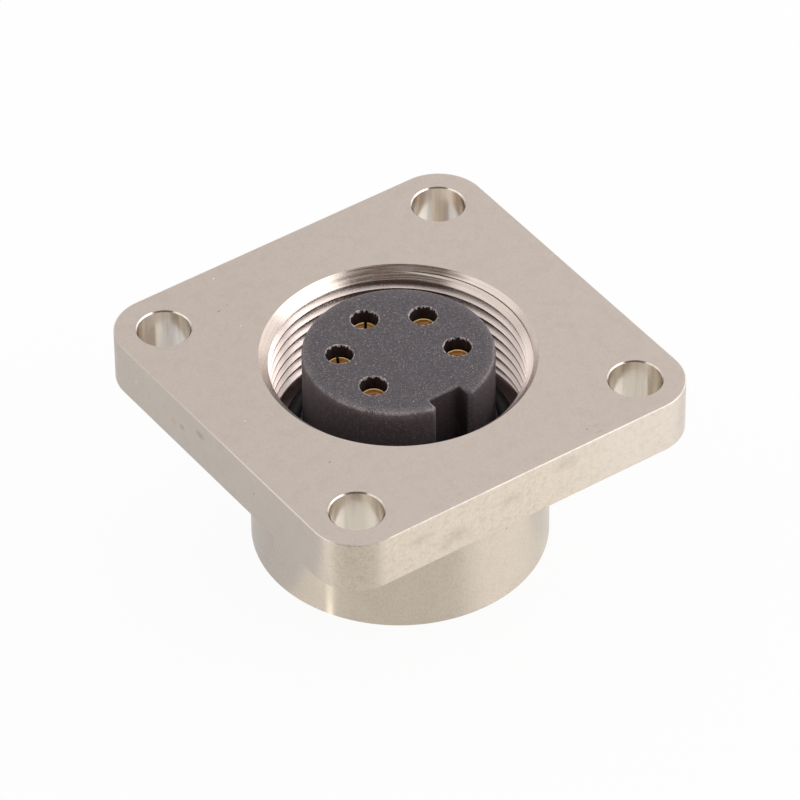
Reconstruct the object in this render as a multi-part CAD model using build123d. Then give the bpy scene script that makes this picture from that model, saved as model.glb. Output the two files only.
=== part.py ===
from build123d import *
import os
from math import cos, radians, sin

# Circular connector receptacle with a square flange and five socket contacts.
# Millimetres and degrees. +Z points out of the mating side. The origin is the
# centre of the barrel's rear rim, so the object stands on that rim. The keyway
# faces -Y. The bore that takes the thread is drawn at the thread's minor diameter.

# Thread for the plug's coupling ring
thread_diameter = 16.0
thread_pitch = 0.75
thread_depth = 5.85
relief_width = 0.65
relief_clearance = 0.1
mouth_clearance = 0.3
minor_diameter_factor = 1.0825

# Shell
barrel_wall = 1.0
web_thickness = 1.2
rear_wall = 1.5
rear_recess = 2.0
barrel_edge_chamfer = 0.15
flange_thickness = 3.5
flange_edge_chamfer = 0.12
hole_spacing = 20.0
hole_margin = 3.0
hole_diameter = 3.2
hole_chamfer = 0.1
index_slot_width = 1.6
index_slot_depth = 0.5

# Contact insert
mating_gap = 1.85
nose_proud = 0.25
nose_edge_radius = 0.22
root_step = 0.16
root_clearance = 0.1
collar_thickness = 1.4
collar_clearance = 0.1
lug_clearance = 0.05
keyway_width = 2.2
keyway_depth = 1.1
keyway_stop = 0.15
keyway_inner_radius = 0.15
keyway_mouth_radius = 0.2

# Seals
interface_seal_section = 1.05
interface_seal_cover = 0.1
insert_seal_width = 0.95
insert_seal_height = 0.75
insert_seal_edge = 0.3
seal_groove_wall = 0.25
seal_side_clearance = 0.05

# Contacts
contact_circle = 7.0
contact_step = 60
first_contact_angle = -30
slot_angles = (145, 130, 51, 66, 155)
contact_recess = 0.87
pin_bore = 1.05
pin_bore_depth = 6.0
tine_wall = 0.225
tine_slot_width = 0.18
tine_slot_length = 4.6
lead_in_step = 0.12
lead_in_depth = 0.46
tip_chamfer = 0.04
contact_clearance = 0.09
contact_collar_height = 1.0
contact_collar_step = 0.15
contact_collar_clearance = 0.05
cup_bore = 1.4
cup_wall = 0.25
cup_depth = 2.1
scoop_length = 1.5
cup_recess = 0.6

# Contact retainer and retaining ring
retainer_thickness = 1.6
retainer_hole_clearance = 0.05
ring_thickness = 1.0
ring_groove_depth = 0.4
ring_groove_clearance = 0.1
ring_back_width = 1.3
ring_end_width = 0.9
ring_gap = 1.8
ring_lug_radius = 1.1
ring_lug_hole = 0.9
ring_lug_inset = 1.4

# Radii that follow from the sizes above
major_radius = thread_diameter / 2
minor_radius = (thread_diameter - minor_diameter_factor * thread_pitch) / 2
mouth_radius = major_radius + mouth_clearance
relief_radius = major_radius + relief_clearance
barrel_radius = major_radius + barrel_wall
rear_bore_radius = barrel_radius - rear_wall
nose_radius = minor_radius - mating_gap
root_radius = nose_radius + root_step
web_bore_radius = root_radius + root_clearance
collar_radius = rear_bore_radius - collar_clearance
groove_inner_radius = root_radius + seal_groove_wall
groove_outer_radius = groove_inner_radius + insert_seal_width + 2 * seal_side_clearance
tine_radius = pin_bore / 2 + tine_wall
shank_radius = cup_bore / 2 + cup_wall
contact_collar_radius = shank_radius + contact_collar_step
ring_groove_radius = rear_bore_radius + ring_groove_depth
ring_radius = ring_groove_radius - ring_groove_clearance

# Heights, counted up from the rear rim
ring_rear = rear_recess
retainer_rear = ring_rear + ring_thickness
collar_rear = retainer_rear + retainer_thickness
web_rear = collar_rear + collar_thickness
floor_height = web_rear + web_thickness
thread_end = floor_height + relief_width
flange_face = thread_end + thread_depth
flange_rear = flange_face - flange_thickness
nose_face = flange_face + nose_proud
root_top = floor_height + interface_seal_section + interface_seal_cover
contact_front = nose_face - contact_recess
contact_collar_top = collar_rear + contact_collar_height

UP = (Align.CENTER, Align.CENTER, Align.MIN)
DOWN = (Align.CENTER, Align.CENTER, Align.MAX)


def turned(points):
    """Solid of revolution about Z from (radius, height) points."""
    with BuildPart() as body:
        with BuildSketch(Plane.XZ):
            with BuildLine():
                Polyline(*points, close=True)
            make_face()
        revolve(axis=Axis.Z)
    return body.part


def contact_places():
    """Angle and centre of each contact, counter-clockwise from the first."""
    radius = contact_circle / 2
    for index in range(len(slot_angles)):
        angle = first_contact_angle + index * contact_step
        yield angle, (radius * cos(radians(angle)), radius * sin(radians(angle)))


def index_key(width, radius, bottom, top):
    """Bar along +Y that fills an index slot out to the given radius."""
    length = radius - web_bore_radius
    centre = Location((0, web_bore_radius + length / 2, bottom))
    return centre * Box(width, length, top - bottom, align=UP)


def flange():
    """Square plate with rounded corners, broken edges and four screw holes."""
    side = hole_spacing + 2 * hole_margin
    with BuildPart() as plate:
        with BuildSketch(Plane.XY.offset(flange_rear)):
            RectangleRounded(side, side, hole_margin)
        extrude(amount=flange_thickness)
        rims = plate.edges().filter_by(Plane.XY)
        chamfer(rims, flange_edge_chamfer)
        with Locations(Location((0, 0, flange_rear))):
            with GridLocations(hole_spacing, hole_spacing, 2, 2):
                Cylinder(hole_diameter / 2, flange_thickness, align=UP, mode=Mode.SUBTRACT)
                Cone(
                    hole_diameter / 2 + hole_chamfer,
                    hole_diameter / 2,
                    hole_chamfer,
                    align=UP,
                    mode=Mode.SUBTRACT,
                )
        with Locations(Location((0, 0, flange_face))):
            with GridLocations(hole_spacing, hole_spacing, 2, 2):
                Cone(
                    hole_diameter / 2,
                    hole_diameter / 2 + hole_chamfer,
                    hole_chamfer,
                    align=DOWN,
                    mode=Mode.SUBTRACT,
                )
    return plate.part


def barrel():
    """Round body from the rear rim up to the flange's face, before boring."""
    return turned(
        [
            (0, 0),
            (barrel_radius - barrel_edge_chamfer, 0),
            (barrel_radius, barrel_edge_chamfer),
            (barrel_radius, flange_rear),
            (major_radius, flange_rear),
            (major_radius, flange_face),
            (0, flange_face),
        ]
    )


def front_bore():
    """Mouth chamfer, thread bore at its minor diameter, and thread relief."""
    mouth_bottom = flange_face - (mouth_radius - minor_radius)
    return turned(
        [
            (0, floor_height),
            (relief_radius, floor_height),
            (relief_radius, thread_end),
            (minor_radius, thread_end),
            (minor_radius, mouth_bottom),
            (mouth_radius, flange_face),
            (0, flange_face),
        ]
    )


def rear_bore():
    """Web bore, rear bore and the groove for the retaining ring."""
    groove_bottom = ring_rear - ring_groove_clearance
    return turned(
        [
            (0, 0),
            (rear_bore_radius + barrel_edge_chamfer, 0),
            (rear_bore_radius, barrel_edge_chamfer),
            (rear_bore_radius, groove_bottom),
            (ring_groove_radius, groove_bottom),
            (ring_groove_radius, retainer_rear),
            (rear_bore_radius, retainer_rear),
            (rear_bore_radius, web_rear),
            (web_bore_radius, web_rear),
            (web_bore_radius, floor_height),
            (0, floor_height),
        ]
    )


def shell():
    """Flange and barrel as one turned and milled piece."""
    slot = index_key(index_slot_width, rear_bore_radius + index_slot_depth, 0, web_rear)
    return flange() + barrel() - front_bore() - rear_bore() - slot


def keyway():
    """Cutter for the keyway: flat inner wall, rounded corners and mouth."""
    inner_wall = nose_radius - keyway_depth
    bottom = root_top + keyway_stop
    with BuildPart() as cutter:
        with BuildSketch(Plane.XY.offset(bottom)):
            with BuildSketch(mode=Mode.PRIVATE) as keyed:
                Circle(nose_radius)
                with Locations((0, -inner_wall)):
                    Rectangle(
                        keyway_width,
                        nose_radius,
                        align=(Align.CENTER, Align.MAX),
                        mode=Mode.SUBTRACT,
                    )
                corners = keyed.vertices().sort_by(Axis.Y)
                fillet(corners[2:4], keyway_inner_radius)
                corners = keyed.vertices().sort_by(Axis.Y)
                fillet(corners[0:2], keyway_mouth_radius)
            with Locations((0, -inner_wall)):
                Rectangle(
                    keyway_width + 4 * keyway_mouth_radius,
                    nose_radius,
                    align=(Align.CENTER, Align.MAX),
                )
            add(keyed.sketch, mode=Mode.SUBTRACT)
        extrude(amount=nose_face - bottom)
    return cutter.part


def insert_blank():
    """Turned form of the insert: nose with a rounded rim, root and collar."""
    with BuildPart() as blank:
        with BuildSketch(Plane.XZ):
            with BuildLine():
                rim = nose_face - nose_edge_radius
                sides = Polyline(
                    (0, nose_face),
                    (0, collar_rear),
                    (collar_radius, collar_rear),
                    (collar_radius, web_rear),
                    (root_radius, web_rear),
                    (root_radius, root_top),
                    (nose_radius, root_top),
                    (nose_radius, rim),
                )
                edge = TangentArc(
                    sides @ 1,
                    (nose_radius - nose_edge_radius, nose_face),
                    tangent=(0, 1),
                )
                Line(edge @ 1, sides @ 0)
            make_face()
        revolve(axis=Axis.Z)
    return blank.part


def seal_groove():
    """Ring-shaped groove in the front face of the insert's collar."""
    bottom = web_rear - insert_seal_height
    return turned(
        [
            (groove_inner_radius, bottom),
            (groove_outer_radius, bottom),
            (groove_outer_radius, web_rear),
            (groove_inner_radius, web_rear),
        ]
    )


def contact_cavity():
    """Stepped hole that one contact slides into from the rear."""
    hole = Location((0, 0, collar_rear)) * Cylinder(
        tine_radius + contact_clearance, nose_face - collar_rear, align=UP
    )
    seat = Location((0, 0, collar_rear)) * Cylinder(
        contact_collar_radius + contact_collar_clearance, contact_collar_height, align=UP
    )
    return hole + seat


def index_lug(bottom, top):
    """Lug that keeps a moulding from turning in the shell's index slot."""
    reach = rear_bore_radius + index_slot_depth - collar_clearance
    return index_key(index_slot_width - 2 * lug_clearance, reach, bottom, top)


def contact_insert():
    """Moulded front insulator with keyway, five cavities and index lug."""
    lug_top = web_rear - insert_seal_height
    body = insert_blank() + index_lug(collar_rear, lug_top) - seal_groove() - keyway()
    cavity = contact_cavity()
    for _, (x, y) in contact_places():
        body -= Location((x, y, 0)) * cavity
    return body


def contact_retainer():
    """Moulded disc behind the insert that traps the contacts' collars."""
    disc = Location((0, 0, retainer_rear)) * Cylinder(collar_radius, retainer_thickness, align=UP)
    disc += index_lug(retainer_rear, collar_rear)
    hole = Location((0, 0, retainer_rear)) * Cylinder(
        shank_radius + retainer_hole_clearance, retainer_thickness, align=UP
    )
    for _, (x, y) in contact_places():
        disc -= Location((x, y, 0)) * hole
    return disc


def contact(slot_turn):
    """Turned socket contact on the Z axis: slotted tines, collar, solder cup."""
    body = turned(
        [
            (0, cup_recess),
            (shank_radius, cup_recess),
            (shank_radius, collar_rear),
            (contact_collar_radius, collar_rear),
            (contact_collar_radius, contact_collar_top),
            (tine_radius, contact_collar_top),
            (tine_radius, contact_front - tip_chamfer),
            (tine_radius - tip_chamfer, contact_front),
            (0, contact_front),
        ]
    )
    front = Location((0, 0, contact_front))
    rear = Location((0, 0, cup_recess))
    body -= front * Cylinder(pin_bore / 2, pin_bore_depth, align=DOWN)
    body -= front * Cone(pin_bore / 2, pin_bore / 2 + lead_in_step, lead_in_depth, align=DOWN)
    slot = Box(2 * contact_collar_radius, tine_slot_width, tine_slot_length, align=DOWN)
    body -= front * Rotation(0, 0, slot_turn) * slot
    body -= rear * Cylinder(cup_bore / 2, cup_depth, align=UP)
    body -= rear * Box(
        shank_radius,
        2 * shank_radius,
        scoop_length,
        align=(Align.MIN, Align.CENTER, Align.MIN),
    )
    return body


def interface_seal():
    """Round rubber ring on the shell's floor, against the insert's root."""
    radius = interface_seal_section / 2
    with BuildPart() as seal:
        with BuildSketch(Plane.XZ):
            with Locations((root_radius + radius, floor_height + radius)):
                Circle(radius)
        revolve(axis=Axis.Z)
    return seal.part


def insert_seal():
    """Rubber ring pressed flat between the collar's groove and the web."""
    centre = groove_inner_radius + seal_side_clearance + insert_seal_width / 2
    with BuildPart() as seal:
        with BuildSketch(Plane.XZ):
            with Locations((centre, web_rear - insert_seal_height / 2)):
                RectangleRounded(insert_seal_width, insert_seal_height, insert_seal_edge)
        revolve(axis=Axis.Z)
    return seal.part


def retaining_ring():
    """Internal snap ring, thickest at its back, with two drilled lugs."""
    inner_radius = ring_radius - (ring_back_width + ring_end_width) / 2
    inner_offset = (ring_back_width - ring_end_width) / 2
    lug_centre = ring_radius - ring_lug_inset
    lug_shift = ring_gap / 2 + ring_lug_radius
    with BuildPart() as ring:
        with BuildSketch(Plane.XY.offset(ring_rear)):
            Circle(ring_radius)
            with Locations((0, -inner_offset)):
                Circle(inner_radius, mode=Mode.SUBTRACT)
            with Locations((-lug_shift, -lug_centre), (lug_shift, -lug_centre)):
                Circle(ring_lug_radius)
            with Locations((-lug_shift, -lug_centre), (lug_shift, -lug_centre)):
                Circle(ring_lug_hole / 2, mode=Mode.SUBTRACT)
            with Locations((0, -ring_radius)):
                Rectangle(ring_gap, ring_radius, mode=Mode.SUBTRACT)
        extrude(amount=ring_thickness)
    return ring.part


def write(name, shape):
    """Write one piece under its node name."""
    export_step(shape, "parts/" + name + ".step")


os.makedirs("parts", exist_ok=True)
write("shell", shell())
write("contact_insert", contact_insert())
write("contact_retainer", contact_retainer())
write("retaining_ring", retaining_ring())
write("interface_seal", interface_seal())
write("insert_seal", insert_seal())
for number, (slot_angle, (angle, (x, y))) in enumerate(zip(slot_angles, contact_places()), 1):
    socket = Location((x, y, 0), (0, 0, angle)) * contact(slot_angle - angle)
    write(f"contact_{number}", socket)
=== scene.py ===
"""Looks of a square flange receptacle: threaded shell, moulded insert, gold sockets.

Every piece is modelled at one unit to the millimetre and scaled to metres in its
mesh when it is finished. The frame is the CAD part's: +Z leaves the mating side, the
barrel's rear rim stands on Z = 0, and the keyway faces -Y.
"""

import logging
import math
from contextlib import contextmanager
from dataclasses import dataclass, field
from enum import Enum
from functools import cached_property
from typing import Callable, Iterator, List, Mapping, NamedTuple, Optional
from typing import Sequence, Tuple, Union

import bmesh
import bpy
from mathutils import Matrix, Vector


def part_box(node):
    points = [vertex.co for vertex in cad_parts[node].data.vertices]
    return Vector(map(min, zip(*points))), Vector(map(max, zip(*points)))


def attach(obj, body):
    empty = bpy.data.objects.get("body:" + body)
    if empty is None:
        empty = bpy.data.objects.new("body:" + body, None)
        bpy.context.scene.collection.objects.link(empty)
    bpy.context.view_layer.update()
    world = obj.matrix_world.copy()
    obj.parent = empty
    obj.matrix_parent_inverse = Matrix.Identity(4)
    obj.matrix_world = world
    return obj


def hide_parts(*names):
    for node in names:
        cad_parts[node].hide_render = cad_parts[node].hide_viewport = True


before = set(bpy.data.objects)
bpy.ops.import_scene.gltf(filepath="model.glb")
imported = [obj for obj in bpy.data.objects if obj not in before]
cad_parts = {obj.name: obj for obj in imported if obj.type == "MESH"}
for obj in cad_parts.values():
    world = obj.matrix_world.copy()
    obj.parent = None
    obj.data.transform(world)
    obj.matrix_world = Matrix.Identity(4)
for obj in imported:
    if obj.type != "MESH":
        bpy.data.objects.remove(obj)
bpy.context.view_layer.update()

log = logging.getLogger("receptacle")

MM = 0.001
MERGE = 0.0002

Point = Tuple[float, float]
Place = Tuple[float, float, float]
Colour = Tuple[float, float, float]
Profile = Sequence[Point]
Values = Optional[Mapping[str, object]]

WHITE = (1.0, 1.0, 1.0)
SMOOTH_STEP = {"interpolation_type": "SMOOTHSTEP"}

# Flat directions on the part, out from its axis
CAMERA_SIDE = (-0.571, -0.821)
FAR_SIDE = (0.571, 0.821)
CAMERA_LEFT_SIDE = (-0.821, 0.571)
KEYWAY_CORNER = (-0.7071, -0.7071)


class Bench:
    """Modelling steps shared by the pieces, one unit to the millimetre."""

    @staticmethod
    def clear() -> None:
        """Leave edit mode and deselect everything."""
        if bpy.context.mode != "OBJECT":
            bpy.ops.object.mode_set(mode="OBJECT")
        bpy.ops.object.select_all(action="DESELECT")

    @staticmethod
    def take(piece: bpy.types.Object) -> None:
        """Make one piece the only selected and the active one.

        Args:
            piece: The piece.
        """
        Bench.clear()
        piece.select_set(True)
        bpy.context.view_layer.objects.active = piece

    @staticmethod
    @contextmanager
    def editing(piece: bpy.types.Object, mode: str) -> Iterator[None]:
        """Edit mode on one piece with nothing selected.

        Args:
            piece: The piece to edit.
            mode: The selection mode, VERT, EDGE or FACE.

        Returns:
            A context that leaves edit mode at its end.
        """
        Bench.take(piece)
        bpy.ops.object.mode_set(mode="EDIT")
        bpy.ops.mesh.select_mode(type=mode)
        bpy.ops.mesh.select_all(action="DESELECT")
        yield
        bpy.ops.object.mode_set(mode="OBJECT")

    @staticmethod
    def pick(piece: bpy.types.Object, parts: str, wanted: Callable[..., bool]) -> None:
        """Select the vertices or edges whose ends pass a test.

        Args:
            piece: The piece in edit mode.
            parts: VERT or EDGE.
            wanted: Test on a vertex's place, or on the places of an edge's two ends.
        """
        mesh = bmesh.from_edit_mesh(piece.data)
        for part in mesh.edges if parts == "EDGE" else mesh.verts:
            ends = part.verts if parts == "EDGE" else [part]
            part.select_set(wanted(*(end.co for end in ends)))
        mesh.select_flush_mode()
        bmesh.update_edit_mesh(piece.data)

    @staticmethod
    def block(name: str, size: Sequence[float], centre: Sequence[float]) -> bpy.types.Object:
        """Rectangular block.

        Args:
            name: Name of the new object.
            size: Its three lengths.
            centre: Its centre.

        Returns:
            The new object, with its place in its mesh.
        """
        Bench.clear()
        bpy.ops.mesh.primitive_cube_add(size=1, location=centre, scale=size)
        return Bench.named(name)

    @staticmethod
    def named(name: str) -> bpy.types.Object:
        """Name the new object and put its place and size in its mesh.

        Args:
            name: Its name.

        Returns:
            The object.
        """
        bpy.context.object.name = name
        bpy.ops.object.transform_apply()
        return bpy.context.object

    @staticmethod
    def turn(name: str, profile: Profile, steps: int, ring: bool = False) -> bpy.types.Object:
        """Turned solid about Z, drawn out ring by ring along a profile.

        Args:
            name: Name of the new object.
            profile: (radius, height) of each ring, in order.
            steps: Facets round the axis.
            ring: True if the last ring joins the first and the solid has no end caps.

        Returns:
            The new closed object.
        """
        Bench.clear()
        radius, height = profile[0]
        bpy.ops.mesh.primitive_circle_add(
            vertices=steps,
            radius=radius,
            fill_type="NOTHING" if ring else "NGON",
            location=(0, 0, height),
        )
        piece = Bench.named(name)
        bpy.ops.object.mode_set(mode="EDIT")
        bpy.ops.mesh.select_mode(type="EDGE")
        bpy.ops.mesh.select_all(action="SELECT")
        rings = list(profile[1:]) + ([profile[0]] if ring else [])
        for next_radius, next_height in rings:
            rise = (0, 0, next_height - height)
            bpy.ops.mesh.extrude_edges_move(TRANSFORM_OT_translate={"value": rise})
            share = next_radius / radius
            centre = (0, 0, next_height)
            bpy.ops.transform.resize(value=(share, share, 1), center_override=centre)
            radius, height = next_radius, next_height
        if not ring:
            bpy.ops.mesh.edge_face_add()
        bpy.ops.mesh.select_all(action="SELECT")
        bpy.ops.mesh.remove_doubles(threshold=MERGE)
        bpy.ops.mesh.normals_make_consistent(inside=False)
        bpy.ops.object.mode_set(mode="OBJECT")
        return piece

    @staticmethod
    def extrude_outline(name: str, outline: Profile, bottom: float, top: float) -> bpy.types.Object:
        """Upright solid over a flat outline.

        Args:
            name: Name of the new object.
            outline: (x, y) of each corner, in order.
            bottom: Height of its lower face.
            top: Height of its upper face.

        Returns:
            The new closed object.
        """
        Bench.clear()
        x, y = outline[0]
        bpy.ops.mesh.primitive_plane_add(size=1, location=(x, y, bottom))
        piece = Bench.named(name)
        bpy.ops.object.mode_set(mode="EDIT")
        bpy.ops.mesh.select_mode(type="VERT")
        bpy.ops.mesh.select_all(action="SELECT")
        bpy.ops.mesh.merge(type="CENTER")
        for next_x, next_y in outline[1:]:
            step = (next_x - x, next_y - y, 0)
            bpy.ops.mesh.extrude_vertices_move(TRANSFORM_OT_translate={"value": step})
            x, y = next_x, next_y
        bpy.ops.mesh.select_all(action="SELECT")
        bpy.ops.mesh.edge_face_add()
        rise = (0, 0, top - bottom)
        bpy.ops.mesh.extrude_region_move(TRANSFORM_OT_translate={"value": rise})
        bpy.ops.mesh.select_all(action="SELECT")
        bpy.ops.mesh.normals_make_consistent(inside=False)
        bpy.ops.object.mode_set(mode="OBJECT")
        return piece

    @staticmethod
    def move(piece: bpy.types.Object, offset: Sequence[float]) -> None:
        """Shift a piece's mesh.

        Args:
            piece: The piece to move.
            offset: The shift in millimetres.
        """
        with Bench.editing(piece, "VERT"):
            bpy.ops.mesh.select_all(action="SELECT")
            bpy.ops.transform.translate(value=offset)

    @staticmethod
    def turn_about_axis(piece: bpy.types.Object, angle: float) -> None:
        """Turn a piece's mesh about Z.

        Args:
            piece: The piece to turn.
            angle: The angle in radians, counter-clockwise from above.
        """
        Bench.take(piece)
        piece.rotation_euler.z = angle
        bpy.ops.object.transform_apply(rotation=True)

    @staticmethod
    def copies(piece: bpy.types.Object, offsets: Sequence[Place]) -> List[bpy.types.Object]:
        """Copies of a piece, each with its own mesh.

        Args:
            piece: The piece to copy. It is used up.
            offsets: The shift of each copy.

        Returns:
            The copies.
        """
        made = []
        for offset in offsets:
            Bench.take(piece)
            bpy.ops.object.duplicate()
            copy = bpy.context.object
            Bench.move(copy, offset)
            made.append(copy)
        bpy.data.objects.remove(piece)
        return made

    @staticmethod
    def cut(piece: bpy.types.Object, tools: Sequence[bpy.types.Object]) -> None:
        """Cut tools out of a piece in order, and use them up."""
        for tool in tools:
            Bench.combine(piece, tool, "DIFFERENCE")

    @staticmethod
    def paint(piece: bpy.types.Object, finish: bpy.types.Material) -> None:
        """Give a piece one material and no other."""
        piece.data.materials.clear()
        piece.data.materials.append(finish)

    @staticmethod
    def round_axis(radius: float, angle: float) -> Place:
        """Place at a radius from the axis and an angle in radians, at height 0."""
        return radius * math.cos(angle), radius * math.sin(angle), 0

    @staticmethod
    def combine(piece: bpy.types.Object, tool: bpy.types.Object, operation: str) -> None:
        """Add a tool's solid to a piece or cut it out, and use the tool up.

        Args:
            piece: The piece that changes.
            tool: The other solid.
            operation: UNION or DIFFERENCE.
        """
        Bench.take(piece)
        bpy.ops.object.modifier_add(type="BOOLEAN")
        modifier = piece.modifiers[-1]
        modifier.operation = operation
        modifier.solver = "EXACT"
        modifier.object = tool
        bpy.ops.object.modifier_apply(modifier=modifier.name)
        bpy.data.objects.remove(tool)

    @staticmethod
    def finish(piece: bpy.types.Object, name: str, smooth_below: float) -> None:
        """Scale a finished piece to metres in its mesh and smooth its shading.

        Args:
            piece: The piece, in millimetres.
            name: Its final name.
            smooth_below: Edges sharper than this angle, in radians, stay sharp.
        """
        with Bench.editing(piece, "VERT"):
            bpy.ops.mesh.select_all(action="SELECT")
            bpy.ops.mesh.remove_doubles(threshold=MERGE)
            bpy.ops.transform.resize(value=(MM, MM, MM), center_override=(0, 0, 0))
        piece.name = name
        bpy.ops.object.shade_smooth_by_angle(angle=smooth_below)


class Wire:
    """One value inside a material: an output socket that takes arithmetic."""

    def __init__(self, sheet: "Sheet", socket: bpy.types.NodeSocket) -> None:
        """Keep the socket and the sheet that it is on.

        Args:
            sheet: The node sheet.
            socket: The output socket.
        """
        self.sheet = sheet
        self.socket = socket

    def __add__(self, other: "Operand") -> "Wire":
        """Sum."""
        return self.sheet.math("ADD", self, other)

    __radd__ = __add__

    def __sub__(self, other: "Operand") -> "Wire":
        """Difference."""
        return self.sheet.math("SUBTRACT", self, other)

    def __rsub__(self, other: "Operand") -> "Wire":
        """Difference from a number."""
        return self.sheet.math("SUBTRACT", other, self)

    def __mul__(self, other: "Operand") -> "Wire":
        """Product."""
        return self.sheet.math("MULTIPLY", self, other)

    __rmul__ = __mul__

    def __abs__(self) -> "Wire":
        """Size without sign."""
        return self.sheet.math("ABSOLUTE", self)


Operand = Union[Wire, float]


class Sheet:
    """The node tree of a material or of the world, drawn in expressions."""

    def __init__(self, owner: Union[bpy.types.Material, bpy.types.World]) -> None:
        """Start from an empty tree.

        Args:
            owner: What the tree belongs to.
        """
        owner.use_nodes = True
        owner.node_tree.nodes.clear()
        self.owner = owner

    @staticmethod
    def new(name: str) -> "Sheet":
        """Sheet of a new material."""
        return Sheet(bpy.data.materials.new(name))

    @staticmethod
    def socket(sockets: bpy.types.bpy_prop_collection, key: str) -> bpy.types.NodeSocket:
        """The socket with an identifier, or else with a name."""
        matches = [socket for socket in sockets if socket.identifier == key]
        return matches[0] if matches else sockets[key]

    def node(self, kind: str, inputs: Values = None, settings: Values = None) -> bpy.types.Node:
        """Add one node.

        Args:
            kind: The node's type.
            inputs: The values or wires of its sockets.
            settings: Its own settings, which are made first.

        Returns:
            The node.
        """
        node = self.owner.node_tree.nodes.new(kind)
        for key, value in (settings or {}).items():
            setattr(node, key, value)
        for key, value in (inputs or {}).items():
            socket = self.socket(node.inputs, key)
            if isinstance(value, Wire):
                self.owner.node_tree.links.new(value.socket, socket)
            elif socket.type == "RGBA" and len(value) == 3:
                socket.default_value = (*value, 1)
            else:
                socket.default_value = value
        return node

    def wire(self, node: bpy.types.Node, output: str) -> Wire:
        """One output of a node."""
        return Wire(self, self.socket(node.outputs, output))

    def result(self, output: str, kind: str, inputs: Values = None, settings: Values = None) -> Wire:
        """One output of a new node."""
        return self.wire(self.node(kind, inputs, settings), output)

    def math(self, operation: str, *operands: Operand) -> Wire:
        """Result of one Math node."""
        inputs = dict(zip(("Value", "Value_001"), operands))
        return self.result("Value", "ShaderNodeMath", inputs, {"operation": operation})

    def vector(self, operation: str, *operands: object) -> Wire:
        """Vector result of one Vector Math node."""
        inputs = dict(zip(("Vector", "Vector_001"), operands))
        return self.result("Vector", "ShaderNodeVectorMath", inputs, {"operation": operation})

    def split(self, vector: Wire) -> Tuple[Wire, Wire, Wire]:
        """The X, Y and Z of a vector."""
        node = self.node("ShaderNodeSeparateXYZ", {"Vector": vector})
        return self.wire(node, "X"), self.wire(node, "Y"), self.wire(node, "Z")

    def join(self, x: Operand, y: Operand, z: Operand) -> Wire:
        """Vector from its X, Y and Z."""
        return self.result("Vector", "ShaderNodeCombineXYZ", {"X": x, "Y": y, "Z": z})

    @cached_property
    def place(self) -> Wire:
        """Place on the piece, in millimetres of the CAD frame."""
        metres = self.result("Object", "ShaderNodeTexCoord")
        return self.vector("MULTIPLY", metres, (1 / MM, 1 / MM, 1 / MM))

    @cached_property
    def xyz(self) -> Tuple[Wire, Wire, Wire]:
        """The place's X, Y and Z."""
        return self.split(self.place)

    @cached_property
    def up(self) -> Wire:
        """Z of the surface's own direction, from -1 to 1."""
        return self.split(self.result("Normal", "ShaderNodeNewGeometry"))[2]

    def length(self, x: Wire, y: Wire) -> Wire:
        """Length of a flat vector."""
        return self.math("SQRT", x * x + y * y)

    @cached_property
    def radius(self) -> Wire:
        """The place's distance from the part's axis."""
        return self.length(*self.xyz[:2])

    def along(self, direction: Point) -> Wire:
        """The place's distance from the part's axis along a flat direction."""
        return self.xyz[0] * direction[0] + self.xyz[1] * direction[1]

    def noise(
        self,
        scale: float,
        detail: float,
        roughness: float = 0.5,
        at: Optional[Wire] = None,
    ) -> Wire:
        """Soft random value about 0.5.

        Args:
            scale: Waves to the unit.
            detail: Number of finer layers.
            roughness: Strength of the finer layers.
            at: Where to read it, or None for the place on the piece.

        Returns:
            The value.
        """
        where = self.place if at is None else at
        inputs = {"Vector": where, "Scale": scale, "Detail": detail, "Roughness": roughness}
        return self.result("Fac", "ShaderNodeTexNoise", inputs)

    def cells(self, scale: float) -> Tuple[Wire, Wire]:
        """Points scattered over the piece.

        Args:
            scale: Points to the millimetre.

        Returns:
            Distance to the nearest point, and that point's own random number.
        """
        node = self.node("ShaderNodeTexVoronoi", {"Vector": self.place, "Scale": scale})
        colour = {"Color": self.wire(node, "Color")}
        return self.wire(node, "Distance"), self.result("Red", "ShaderNodeSeparateColor", colour)

    def ramp(self, value: Wire, low: float, high: float) -> Wire:
        """Smooth step from 0, where a value is low, to 1, where it is high."""
        inputs = {"Value": value, "From Min": low, "From Max": high}
        return self.result("Result", "ShaderNodeMapRange", inputs, SMOOTH_STEP)

    def mix(self, share: Operand, first: object, second: object) -> Wire:
        """Colour between a first, at share 0, and a second, at share 1."""
        inputs = {"Factor_Float": share, "A_Color": first, "B_Color": second}
        return self.result("Result_Color", "ShaderNodeMix", inputs, {"data_type": "RGBA"})

    def coats(self, base: Wire, coats: Sequence[Tuple[Wire, object]]) -> Wire:
        """Colour with further colours laid over it in order.

        Args:
            base: The colour underneath.
            coats: The share and the colour of each coat.

        Returns:
            The colour on top.
        """
        for share, colour in coats:
            base = self.mix(share, base, colour)
        return base

    def bump(self, height: Wire) -> Wire:
        """Surface direction over a height in millimetres."""
        inputs = {"Strength": 1.0, "Distance": MM, "Height": height}
        return self.result("Normal", "ShaderNodeBump", inputs)

    def glow(self, strength: float, colour: object = WHITE) -> Wire:
        """Light of a strength and colour."""
        inputs = {"Color": colour, "Strength": strength}
        return self.result("Emission", "ShaderNodeEmission", inputs)

    def see_through(self) -> Wire:
        """Shader that lets everything through."""
        return self.result("BSDF", "ShaderNodeBsdfTransparent")

    def principled(self, inputs: Values) -> Wire:
        """Principled shader with these inputs."""
        return self.result("BSDF", "ShaderNodeBsdfPrincipled", inputs)

    def blend(self, share: Operand, first: Wire, second: Wire) -> Wire:
        """Shader between a first, at share 0, and a second, at share 1."""
        inputs = {"Fac": share, "Shader": first, "Shader_001": second}
        return self.result("Shader", "ShaderNodeMixShader", inputs)

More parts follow.
